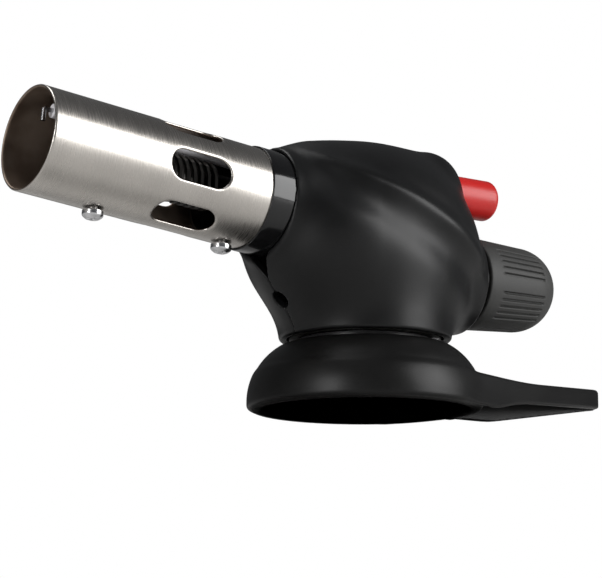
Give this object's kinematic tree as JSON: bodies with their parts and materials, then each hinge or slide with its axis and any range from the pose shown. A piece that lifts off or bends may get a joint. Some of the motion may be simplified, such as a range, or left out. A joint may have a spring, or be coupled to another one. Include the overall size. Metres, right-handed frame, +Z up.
{
  "type": "propane torch",
  "caption": "Hand torch head: tilted slotted flame tube, black two-shell body, ribbed gas knob, red igniter button and a domed quick-lock ring with lever.",
  "frame": {"origin": "centre of the lock ring's rim plane, where the cartridge's shoulder enters the skirt", "axes": "+Z up along the cartridge and lock ring axis, -X the way the flame tube points, +X towards the knob, button and lever"},
  "size_m": [0.2084, 0.0698, 0.0812],
  "materials": {
    "shell_plastic": "fine spark texture",
    "collar_gloss": "glossy",
    "stainless": "brushed along the tube, a little heat-toned",
    "screw_nickel": "bright nickel",
    "die_cast": "as cast",
    "brass": "machined",
    "coil_steel": "heat-darkened",
    "ceramic": "white glazed ceramic",
    "copper": "copper",
    "rubber_seal": "smooth",
    "sinter": "porous sintered bronze",
    "nylon": "natural nylon",
    "spring_steel": "oiled spring steel",
    "plated_steel": "zinc plated",
    "knob_plastic": "fine grain",
    "black_trim": "smooth black",
    "button_red": "satin",
    "piezo_black": "smooth",
    "white_plastic": "smooth",
    "lead_sleeve": "silicone sleeve"
  },
  "bodies": {
    "torch_body": {"shell_left": "shell_plastic", "shell_right": "shell_plastic", "shell_screws": "plated_steel", "collar_ring": "collar_gloss", "burner_tube": "stainless", "tube_screws": "screw_nickel", "burner_cup": "die_cast", "mixing_tube": "brass", "vaporiser_coil": "coil_steel", "flame_holder": "coil_steel", "electrode_ceramic": "ceramic", "electrode_wire": "plated_steel", "gas_jet": "brass", "jet_washer": "copper", "valve_body": "brass", "mount_plate": "plated_steel", "mount_plate_screws": "plated_steel", "upper_washer": "nylon", "lower_washer": "nylon", "circlip": "spring_steel", "inlet_seal": "rubber_seal", "inlet_filter": "sinter", "packing_nut": "brass", "spindle_oring": "rubber_seal", "knob_collar": "black_trim", "return_spring": "spring_steel", "piezo_case": "piezo_black", "piezo_hammer": "plated_steel", "piezo_crystal": "ceramic", "ignition_lead": "lead_sleeve"},
    "lock_ring": {"lock_ring": "shell_plastic", "claw_plate": "plated_steel", "claw_rivets": "plated_steel"},
    "valve_needle": {"valve_needle": "plated_steel", "needle_oring": "rubber_seal"},
    "knob": {"knob": "knob_plastic", "knob_insert": "brass", "valve_spindle": "plated_steel"},
    "button": {"button": "button_red", "piezo_plunger": "white_plastic"}
  },
  "joints": [
    {"name": "lock_turn", "type": "hinge", "parent": "torch_body", "child": "lock_ring", "pos_m": [0, 0, 0.01], "axis": [0, 0, 1], "range_deg": [0, 60]},
    {"name": "needle_travel", "type": "slide", "parent": "torch_body", "child": "valve_needle", "axis": [1, 0, 0], "range_m": [0, 0.00075]},
    {"name": "knob_turn", "type": "hinge", "parent": "valve_needle", "child": "knob", "pos_m": [0.04, 0, 0.04235], "axis": [1, 0, 0], "range_deg": [0, 540]},
    {"name": "button_press", "type": "slide", "parent": "torch_body", "child": "button", "axis": [-1, 0, 0], "range_m": [0, 0.006], "stiffness_N_per_m": 900, "springref_m": -0.004, "deforming": ["return_spring"]}
  ],
  "couplings": [
    {"joint": "knob_turn", "follows": "needle_travel", "rad_per_m": 12566}
  ]
}
